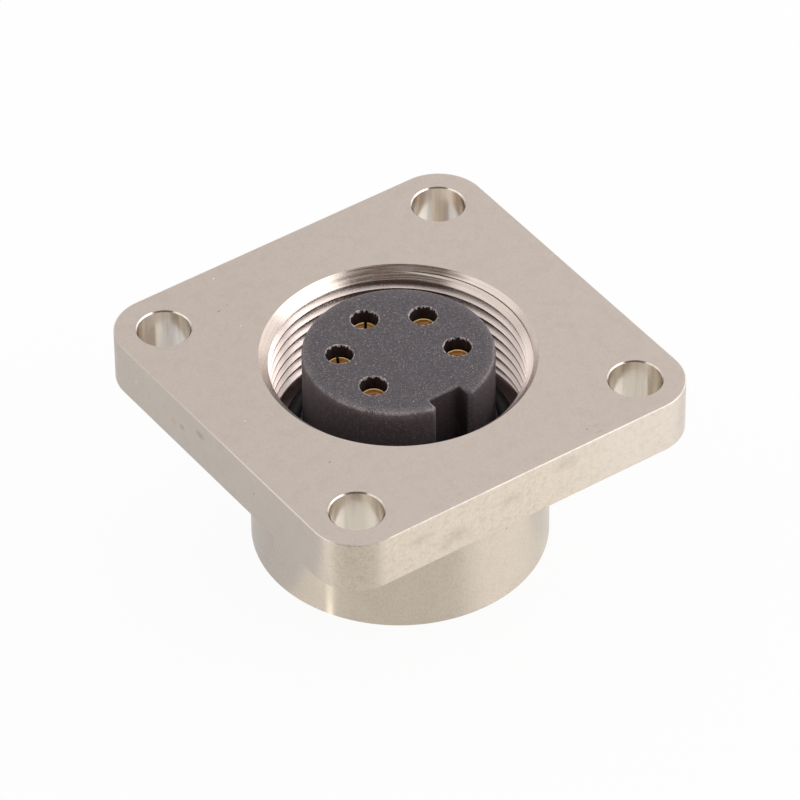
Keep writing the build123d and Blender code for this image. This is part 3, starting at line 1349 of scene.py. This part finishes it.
    def wind(self, piece: bpy.types.Object) -> None:
        """Wind a flat section up the axis into a closed coil.

        Args:
            piece: The section, an open loop of edges.
        """
        Bench.take(piece)
        bpy.ops.object.modifier_add(type="SCREW")
        coil = piece.modifiers[-1]
        coil.screw_offset = self.thread_pitch
        coil.iterations = self.thread_turns
        coil.steps = self.round_steps
        coil.render_steps = self.round_steps
        bpy.ops.object.modifier_apply(modifier=coil.name)
        with Bench.editing(piece, "EDGE"):
            bpy.ops.mesh.select_non_manifold(extend=False)
            bpy.ops.mesh.fill_holes(sides=0)
            bpy.ops.mesh.select_all(action="SELECT")
            bpy.ops.mesh.normals_make_consistent(inside=False)

    def screw_holes(self) -> List[bpy.types.Object]:
        """Cutters for the four screw holes, with broken edges.

        Returns:
            The cutters.
        """
        radius, edge, over = self.hole_radius, self.hole_edge, self.overrun
        profile = [
            (radius + edge + over, self.flange_rear - over),
            (radius, self.flange_rear + edge),
            (radius, self.flange_face - edge),
            (radius + edge + over, self.flange_face + over),
        ]
        tool = Bench.turn("screw_hole", profile, self.hole_steps)
        half = self.hole_spacing / 2
        places = [(sx * half, sy * half, 0) for sx in (-1, 1) for sy in (-1, 1)]
        return Bench.copies(tool, places)

    def dress(self, piece: bpy.types.Object) -> None:
        """Give the shell its finish and its place in the part.

        Args:
            piece: The finished shell.
        """
        finish = NickelPlate(
            mouth_radius=self.mouth_radius,
            mouth_bottom=self.flange_face - self.mouth_radius + self.thread_crest_radius,
            relief_top=self.relief_top,
            floor_height=self.floor_height,
            flange_rear=self.flange_rear,
            flange_face=self.flange_face,
            hole_spacing=self.hole_spacing,
            hole_radius=self.hole_radius,
        )
        Bench.paint(piece, finish.build())
        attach(piece, "root")
        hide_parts("shell")


@dataclass
class ContactInsert:
    """Moulded insulator with five cavities and a keyway."""

    nose_face: float
    collar_rear: float = 4.6
    web_rear: float = 6.0
    root_top: float = 8.35
    collar_radius: float = 7.4
    root_radius: float = 5.904
    nose_radius: float = 5.744
    rim_round: float = 0.22
    groove_inner: float = 6.154
    groove_outer: float = 7.204
    groove_depth: float = 0.75
    keyway_width: float = 2.2
    keyway_depth: float = 1.1
    keyway_bottom: float = 8.5
    keyway_inner_round: float = 0.15
    keyway_mouth_round: float = 0.30
    keyway_top_round: float = 0.24
    keyway_top_steps: int = 5
    hole_circle_radius: float = 3.5
    hole_radius: float = 0.84
    seat_radius: float = 1.15
    seat_height: float = 1.0
    hole_flare: float = 0.03
    rim_tear: float = 0.06
    first_angle: float = -30.0
    angle_step: float = 60.0
    hole_count: int = 5
    lug_width: float = 1.5
    lug_reach: float = 7.9
    round_steps: int = 160
    hole_steps: int = 56
    rim_steps: int = 8
    arc_steps: int = 5
    smooth_below: float = 35.0
    overrun: float = 0.3

    def build(self) -> bpy.types.Object:
        """Mould the insert.

        Returns:
            The finished piece, in metres.
        """
        piece = self.blank()
        Bench.combine(piece, self.lug(), "UNION")
        Bench.cut(piece, [self.seal_groove(), self.keyway(), *self.cavities()])
        Bench.finish(piece, "moulded_insert", math.radians(self.smooth_below))
        return piece

    def blank(self) -> bpy.types.Object:
        """Turned form: collar, root and nose with a rounded rim.

        Returns:
            The form.
        """
        profile = [
            (self.collar_radius, self.collar_rear),
            (self.collar_radius, self.web_rear),
            (self.root_radius, self.web_rear),
            (self.root_radius, self.root_top),
            (self.nose_radius, self.root_top),
            (self.nose_radius, self.nose_face),
        ]
        piece = Bench.turn("insert_blank", profile, self.round_steps)
        with Bench.editing(piece, "EDGE"):
            rim = self.nose_face - MERGE
            Bench.pick(piece, "EDGE", lambda a, b: a.z > rim and b.z > rim)
            bpy.ops.mesh.bevel(offset=self.rim_round, segments=self.rim_steps)
        return piece

    def lug(self) -> bpy.types.Object:
        """Bar that keeps the insert from turning in the shell's slot.

        Returns:
            The bar.
        """
        top = self.web_rear - self.groove_depth
        inner = self.root_radius
        size = (self.lug_width, self.lug_reach - inner, top - self.collar_rear)
        centre = (0, (self.lug_reach + inner) / 2, (top + self.collar_rear) / 2)
        return Bench.block("index_lug", size, centre)

    def seal_groove(self) -> bpy.types.Object:
        """Cutter for the rear seal's groove in the collar.

        Returns:
            The cutter.
        """
        bottom = self.web_rear - self.groove_depth
        top = self.web_rear + self.overrun
        profile = [
            (self.groove_inner, bottom),
            (self.groove_outer, bottom),
            (self.groove_outer, top),
            (self.groove_inner, top),
        ]
        return Bench.turn("seal_groove", profile, self.round_steps, ring=True)

    def arc(self, x: float, y: float, radius: float, start: float, end: float) -> List[Point]:
        """Points of an arc.

        Args:
            x: Centre along X.
            y: Centre along Y.
            radius: Its radius.
            start: First angle in degrees.
            end: Last angle in degrees.

        Returns:
            The points, ends included.
        """
        angles = [start + (end - start) * n / self.arc_steps for n in range(self.arc_steps + 1)]
        turns = [math.radians(angle) for angle in angles]
        return [(x + radius * math.cos(turn), y + radius * math.sin(turn)) for turn in turns]

    def keyway(self) -> bpy.types.Object:
        """Cutter for the keyway, rounded inside, at its mouth and along its top.

        Returns:
            The cutter.
        """
        half = self.keyway_width / 2
        wall = self.keyway_depth - self.nose_radius
        inner, mouth = self.keyway_inner_round, self.keyway_mouth_round
        lip = -math.sqrt((self.nose_radius - mouth) ** 2 - (half + mouth) ** 2)
        lean = math.degrees(math.atan2(half + mouth, -lip))
        right = self.arc(half - inner, wall - inner, inner, 90, 0)
        right += self.arc(half + mouth, lip, mouth, 180, 270 + lean)
        outer = -self.nose_radius - self.overrun
        right.append((right[-1][0] + self.overrun * math.sin(math.radians(lean)), outer))
        left = [(-x, y) for x, y in reversed(right)]
        top = self.nose_face + self.overrun / 2
        cutter = Bench.extrude_outline("keyway", right + left, self.keyway_bottom, top)
        size = (4 * self.keyway_width, 4 * self.keyway_width, self.overrun)
        centre = (0, wall - self.keyway_width / 2, self.nose_face + self.overrun / 2)
        Bench.combine(cutter, Bench.block("keyway_top", size, centre), "UNION")
        with Bench.editing(cutter, "EDGE"):
            Bench.pick(cutter, "EDGE", self.on_keyway_top)
            bpy.ops.mesh.bevel(offset=self.keyway_top_round, segments=self.keyway_top_steps)
        return cutter

    def on_keyway_top(self, first: Vector, second: Vector) -> bool:
        """Whether an edge of the keyway's cutter runs round the keyway's top.

        Args:
            first: Place of one end.
            second: Place of the other end.

        Returns:
            True if both ends lie on the top's outline.
        """
        return all(
            abs(end.z - self.nose_face) < 5 * MERGE and abs(end.x) < self.keyway_width
            for end in (first, second)
        )

    def cavities(self) -> List[bpy.types.Object]:
        """Cutters for the contact cavities, each with its own torn rim.

        Returns:
            The cutters.
        """
        seat_top = self.collar_rear + self.seat_height
        flare = self.hole_radius + self.hole_flare
        profile = [
            (self.seat_radius, self.collar_rear - self.overrun),
            (self.seat_radius, seat_top),
            (self.hole_radius, seat_top),
            (self.hole_radius, self.nose_face - 2 * self.hole_flare),
            (flare, self.nose_face),
            (flare + self.overrun / 2, self.nose_face + self.overrun),
        ]
        tool = Bench.turn("contact_cavity", profile, self.hole_steps)
        angles = [self.first_angle + n * self.angle_step for n in range(self.hole_count)]
        turns = [math.radians(angle) for angle in angles]
        places = [Bench.round_axis(self.hole_circle_radius, turn) for turn in turns]
        tools = Bench.copies(tool, places)
        for seed, copy in enumerate(tools):
            with Bench.editing(copy, "VERT"):
                Bench.pick(copy, "VERT", lambda place: abs(place.z - self.nose_face) < MERGE)
                bpy.ops.transform.vertex_random(offset=self.rim_tear, seed=seed)
        return tools

    def dress(self, piece: bpy.types.Object, finish: bpy.types.Material) -> None:
        """Give the insert its finish and its place in the part.

        Args:
            piece: The finished insert.
            finish: The moulding's material.
        """
        Bench.paint(piece, finish)
        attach(piece, "root")
        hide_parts("contact_insert")


@dataclass
class SocketContact:
    """Turned socket contact: two tines, a trapped collar and a scooped solder cup."""

    front: float
    rear: float
    circle_radius: float
    first_angle: float
    angle_step: float
    collar_rear: float = 4.6
    collar_height: float = 1.0
    collar_radius: float = 1.1
    tine_radius: float = 0.75
    tip_round: float = 0.015
    lip_radius: float = 0.685
    lip_drop: float = 0.02
    bore_radius: float = 0.525
    bore_depth: float = 6.0
    lead_in_depth: float = 0.46
    lead_in_steps: int = 6
    slot_width: float = 0.18
    slot_length: float = 4.6
    shank_radius: float = 0.95
    cup_radius: float = 0.7
    cup_depth: float = 2.1
    scoop_length: float = 1.5
    slot_angles: Tuple[float, ...] = (145.0, 130.0, 51.0, 66.0, 155.0)
    round_steps: int = 72
    smooth_below: float = 16.0

    def build(self) -> List[bpy.types.Object]:
        """Turn one contact, then slot, scoop and place a copy for each cavity.

        Returns:
            The finished pieces, in metres.
        """
        blank = Bench.turn("socket_blank", self.profile(), self.round_steps)
        pieces = Bench.copies(blank, [(0, 0, 0)] * len(self.slot_angles))
        for index, piece in enumerate(pieces):
            angle = math.radians(self.first_angle + index * self.angle_step)
            self.cut(piece, math.radians(self.slot_angles[index]) - angle)
            Bench.turn_about_axis(piece, angle)
            Bench.move(piece, Bench.round_axis(self.circle_radius, angle))
            Bench.finish(piece, f"socket_contact_{index + 1}", math.radians(self.smooth_below))
        return pieces

    def profile(self) -> List[Point]:
        """Outline from the bore's bottom, over the tip and down to the solder cup.

        Returns:
            (radius, height) of each point.
        """
        lead_top = self.front - self.lip_drop
        lead_bottom = self.front - self.lead_in_depth
        flare = self.lip_radius - self.bore_radius
        points = [(self.bore_radius, self.front - self.bore_depth)]
        for step in range(self.lead_in_steps + 1):
            share = step / self.lead_in_steps
            height = lead_bottom + (lead_top - lead_bottom) * share
            points.append((self.bore_radius + flare * share * share, height))
        collar_top = self.collar_rear + self.collar_height
        points += [
            (self.tine_radius - self.tip_round, self.front),
            (self.tine_radius, self.front - self.tip_round),
            (self.tine_radius, collar_top),
            (self.collar_radius, collar_top),
            (self.collar_radius, self.collar_rear),
            (self.shank_radius, self.collar_rear),
            (self.shank_radius, self.rear),
            (self.cup_radius, self.rear),
            (self.cup_radius, self.rear + self.cup_depth),
        ]
        return points

    def cut(self, piece: bpy.types.Object, slot_turn: float) -> None:
        """Cut the slot between the tines and the opening of the solder cup.

        Args:
            piece: The turned contact, on the axis.
            slot_turn: The slot's angle from the contact's own outward side, in radians.
        """
        length = self.slot_length
        slot_size = (2 * self.collar_radius, self.slot_width, 2 * length)
        slot = Bench.block("tine_slot", slot_size, (0, 0, self.front))
        Bench.turn_about_axis(slot, slot_turn)
        reach = self.shank_radius
        scoop_size = (2 * reach, 4 * reach, 2 * self.scoop_length)
        scoop = Bench.block("cup_scoop", scoop_size, (reach, 0, self.rear))
        Bench.cut(piece, [slot, scoop])

    def dress(self, pieces: Sequence[bpy.types.Object], finish: bpy.types.Material) -> None:
        """Give the contacts their finish and their places in the part.

        Args:
            pieces: The finished contacts, in order.
            finish: The gold's material.
        """
        for number, piece in enumerate(pieces, 1):
            Bench.paint(piece, finish)
            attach(piece, "root")
            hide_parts(f"contact_{number}")


class Carried(Enum):
    """CAD nodes that keep their own form, by finish."""

    RUBBER = ("interface_seal", "insert_seal")
    STEEL = ("retaining_ring",)
    MOULDING = ("contact_retainer",)


@dataclass
class CarriedPieces:
    """The CAD nodes that are shown as they are, with better finishes."""

    finishes: Mapping[Carried, bpy.types.Material]

    def dress(self) -> None:
        """Put each node's finish in its material slots."""
        for group, finish in self.finishes.items():
            for name in group.value:
                Bench.paint(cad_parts[name], finish)
                log.info("dressed %s with %s", name, finish.name)


@dataclass(frozen=True)
class Bearing:
    """A direction from the part: angle round from the camera's side, and height."""

    round: float
    rise: float

    def vector(self, camera_azimuth: float) -> Vector:
        """Unit vector from the part towards this bearing.

        Args:
            camera_azimuth: The camera's own angle, in degrees.

        Returns:
            The vector, in the part's frame.
        """
        turn = math.radians(camera_azimuth + self.round)
        rise = math.radians(self.rise)
        flat = math.cos(rise)
        return Vector((math.sin(turn) * flat, -math.cos(turn) * flat, math.sin(rise)))


@dataclass(frozen=True)
class Panel:
    """A large light or dark panel that faces the part."""

    name: str
    bearing: Bearing
    distance: float
    width: float
    height: float
    strength: float
    tint: Colour = WHITE
    soft_edge: float = 0.12

    def build(self, camera_azimuth: float) -> bpy.types.Object:
        """Stand the panel up.

        Args:
            camera_azimuth: The camera's own angle, in degrees.

        Returns:
            The panel, which the camera doesn't see.
        """
        Bench.clear()
        towards = self.bearing.vector(camera_azimuth)
        bpy.ops.mesh.primitive_plane_add(size=1)
        panel = bpy.context.object
        panel.name = self.name
        panel.scale = (self.width, self.height, 1)
        panel.rotation_mode = "QUATERNION"
        panel.rotation_quaternion = (-towards).to_track_quat("Z", "Y")
        panel.location = towards * self.distance
        panel.visible_camera = False
        panel.visible_shadow = False
        panel.data.materials.append(self.finish())
        return panel

    def finish(self) -> bpy.types.Material:
        """Light of the panel, fading towards its edges.

        Returns:
            The material.
        """
        sheet = Sheet.new(self.name)
        u, v, _ = sheet.split(sheet.result("UV", "ShaderNodeTexCoord"))
        fade = sheet.ramp(abs(u - 0.5), 0.5, 0.5 - self.soft_edge)
        fade = fade * sheet.ramp(abs(v - 0.5), 0.5, 0.5 - self.soft_edge)
        light = sheet.glow(self.strength, self.tint)
        return sheet.finished(sheet.blend(fade, sheet.see_through(), light))


@dataclass
class Studio:
    """Pale floor, soft panels and the camera."""

    azimuth: float = -34.820
    elevation: float = 40.892
    roll: float = -0.562
    distance: float = 397.5 * MM
    lens: float = 305.04
    sensor: float = 36.0
    nearest: float = 0.01
    farthest: float = 10.0
    aim_right: float = 0.059 * MM
    aim_away: float = -4.200 * MM
    floor_side: float = 3.0
    seen_glow: float = 0.94
    mirrored_glow: float = 0.82
    floor_white: float = 0.85
    floor_gloss: float = 0.16
    floor_gloss_roughness: float = 0.22
    open_tint: Colour = (1.0, 1.0, 0.92)
    shade_tint: Colour = (0.70, 0.72, 0.735)
    shade_round: float = -112.0
    right_shade_round: float = 130.0
    right_shade_share: float = 0.45
    shade_edge: Point = (0.38, 0.54)
    right_shade_edge: Point = (0.56, 0.74)
    bar_round: float = -57.0
    bar_half_width: float = 0.40 * MM
    bar_fade: float = 2 * MM
    bar_glow: float = 0.72
    bar_tint: Colour = (1.0, 0.99, 0.90)
    barrel_bar: Place = (4.36 * MM, 7 * MM, 18 * MM)
    corner_bar: Place = (13.5 * MM, 19 * MM, 36 * MM)
    corner_bar_share: float = 0.38
    world_strength: float = 0.86
    panels: Tuple[Panel, ...] = (
        Panel("right_softbox", Bearing(84, 31), 0.6, 0.60, 0.68, 2.3),
        Panel("right_fill", Bearing(123, 20), 0.62, 0.32, 0.45, 1.25),
        Panel("back_fill", Bearing(141, 27), 0.63, 0.32, 0.34, 2.0),
        Panel("left_softbox", Bearing(-80, 31), 0.6, 0.68, 0.68, 1.15),
        Panel("left_back_fill", Bearing(-143, 24), 0.63, 0.30, 0.30, 1.3),
        Panel("left_strip", Bearing(-57, 9), 0.55, 0.04, 0.22, 8.0),
        Panel("left_low_flag", Bearing(-135, 5), 0.62, 0.34, 0.10, 0.5),
        Panel("camera_flag", Bearing(-3, 38), 0.6, 1.18, 0.76, 0.16, (1.0, 0.86, 0.77)),
        Panel("overhead_softbox", Bearing(0, 90), 0.6, 0.24, 0.24, 1.35),
        Panel("edge_light", Bearing(80, 66), 0.58, 0.16, 0.14, 1.1),
    )

    def build(self, aim_height: float) -> None:
        """Set up floor, light and camera.

        Args:
            aim_height: Height of the flange's face, which the camera aims at.
        """
        self.world()
        self.floor()
        for panel in self.panels:
            panel.build(self.azimuth)
            log.info("stood up %s", panel.name)
        self.camera(aim_height)

    def world(self) -> None:
        """Even pale surroundings."""
        world = bpy.data.worlds.new("pale_room")
        bpy.context.scene.world = world
        sheet = Sheet(world)
        seen = sheet.result("Is Camera Ray", "ShaderNodeLightPath")
        strength = self.world_strength + seen * (1 - self.world_strength)
        colours = {"Color": WHITE, "Strength": strength}
        light = sheet.result("Background", "ShaderNodeBackground", colours)
        sheet.node("ShaderNodeOutputWorld", {"Surface": light})

    def floor(self) -> None:
        """White floor that keeps the part's shadow and can't be seen from below."""
        Bench.clear()
        bpy.ops.mesh.primitive_plane_add(size=self.floor_side)
        floor = bpy.context.object
        floor.name = "floor"
        sheet = Sheet.new("white_floor")
        path = sheet.node("ShaderNodeLightPath")
        mirrored = sheet.wire(path, "Is Glossy Ray") + sheet.wire(path, "Is Transmission Ray")
        mirrored = sheet.math("MINIMUM", mirrored, 1.0)
        seen = sheet.wire(path, "Is Camera Ray")
        share = seen * self.seen_glow + mirrored * self.mirrored_glow
        white = (self.floor_white,) * 3
        matt = sheet.result("BSDF", "ShaderNodeBsdfDiffuse", {"Color": white})
        tint = sheet.mix(self.shade(sheet), self.open_tint, self.shade_tint)
        tint = sheet.mix(seen, tint, WHITE)
        pale = sheet.blend(share, matt, sheet.glow(1.0, tint))
        polish = {"Color": WHITE, "Roughness": self.floor_gloss_roughness}
        gloss = sheet.result("BSDF", "ShaderNodeBsdfAnisotropic", polish)
        top = sheet.blend(mirrored * self.floor_gloss, pale, gloss)
        bright = sheet.glow(1.0 + self.bar_glow, self.bar_tint)
        bars = self.light_bar(sheet, self.barrel_bar)
        bars = bars + self.light_bar(sheet, self.corner_bar) * self.corner_bar_share
        top = sheet.blend(mirrored * bars, top, bright)
        below = sheet.result("Backfacing", "ShaderNodeNewGeometry")
        material = sheet.finished(sheet.blend(below, top, sheet.see_through()))
        floor.data.materials.append(material)

    def shade(self, sheet: Sheet) -> Wire:
        """Shade that lies on the left of the part, and a weaker one on its right.

        Args:
            sheet: The floor's sheet.

        Returns:
            How deep the shade is at the place, from 0 to 1.
        """
        coordinates = sheet.result("Object", "ShaderNodeTexCoord")
        x, y, _ = sheet.split(sheet.vector("NORMALIZE", coordinates))
        left_x, left_y, _ = Bearing(self.shade_round, 0).vector(self.azimuth)
        right_x, right_y, _ = Bearing(self.right_shade_round, 0).vector(self.azimuth)
        left = sheet.ramp(x * left_x + y * left_y, *self.shade_edge)
        right = sheet.ramp(x * right_x + y * right_y, *self.right_shade_edge)
        return left + right * self.right_shade_share

    def light_bar(self, sheet: Sheet, place: Place) -> Wire:
        """Narrow bar of light on the floor beside the part.

        Args:
            sheet: The floor's sheet.
            place: The bar's distance beside the axis, its near end and its far end.

        Returns:
            How much of the bar is at the place, from 0 to 1.
        """
        offset, near_end, far_end = place
        coordinates = sheet.result("Object", "ShaderNodeTexCoord")
        x, y, _ = sheet.split(coordinates)
        along_x, along_y, _ = Bearing(self.bar_round, 0).vector(self.azimuth)
        along = x * along_x + y * along_y
        across = abs(x * along_y - y * along_x + offset)
        width = sheet.ramp(across, self.bar_half_width, 0.0)
        near = sheet.ramp(along, near_end - self.bar_fade, near_end)
        far = sheet.ramp(along, far_end, (near_end + far_end) / 2)
        return width * near * far

    def camera(self, aim_height: float) -> None:
        """Camera at the viewing angle worked out for the part.

        Args:
            aim_height: Height of the flange's face.
        """
        turn, rise = math.radians(self.azimuth), math.radians(self.elevation)
        right = Vector((math.cos(turn), math.sin(turn), 0))
        away = Vector((-math.sin(turn), math.cos(turn), 0))
        back = Vector((0, 0, math.sin(rise))) - away * math.cos(rise)
        up = back.cross(right)
        roll = Matrix.Rotation(math.radians(self.roll), 3, back)
        right, up = roll @ right, roll @ up
        aim = Vector((0, 0, aim_height)) + self.aim_away * away
        aim += self.aim_right * Vector((math.cos(turn), math.sin(turn), 0))
        bpy.ops.object.camera_add()
        camera = bpy.context.object
        camera.name = "camera"
        camera.data.lens = self.lens
        camera.data.sensor_width = self.sensor
        camera.data.clip_start = self.nearest
        camera.data.clip_end = self.farthest
        turned = Matrix((right, up, back)).transposed().to_4x4()
        camera.matrix_world = Matrix.Translation(aim + back * self.distance) @ turned
        bpy.context.scene.camera = camera
        bpy.context.scene.view_settings.view_transform = "Standard"


def main() -> None:
    """Build and dress every piece, then the studio."""
    logging.basicConfig(level=logging.INFO, format="%(message)s")
    lowest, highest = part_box("shell")
    shell = Shell(
        flange_side=(highest.x - lowest.x) / MM,
        flange_face=highest.z / MM,
    )
    shell_piece = shell.build()
    shell.dress(shell_piece)
    log.info("built %s, %d faces", shell_piece.name, len(shell_piece.data.polygons))
    insert = ContactInsert(nose_face=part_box("contact_insert")[1].z / MM)
    insert_piece = insert.build()
    moulding = Moulding(
        hole_circle_radius=insert.hole_circle_radius,
        hole_radius=insert.hole_radius,
        face_height=insert.nose_face,
        nose_radius=insert.nose_radius,
        keyway_half=insert.keyway_width / 2,
        keyway_wall=insert.keyway_depth - insert.nose_radius,
    ).build()
    insert.dress(insert_piece, moulding)
    log.info("built %s, %d faces", insert_piece.name, len(insert_piece.data.polygons))
    contact_rear, contact_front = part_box("contact_1")
    contact = SocketContact(
        front=contact_front.z / MM,
        rear=contact_rear.z / MM,
        circle_radius=insert.hole_circle_radius,
        first_angle=insert.first_angle,
        angle_step=insert.angle_step,
    )
    contact_pieces = contact.build()
    contact.dress(contact_pieces, GoldPlate(tip_height=contact.front).build())
    for piece in contact_pieces:
        log.info("built %s, %d faces", piece.name, len(piece.data.polygons))
    finishes = {
        Carried.RUBBER: SealRubber().build(),
        Carried.STEEL: SpringSteel().build(),
        Carried.MOULDING: moulding,
    }
    CarriedPieces(finishes).dress()
    Studio().build(highest.z)


if __name__ == "__main__":
    main()
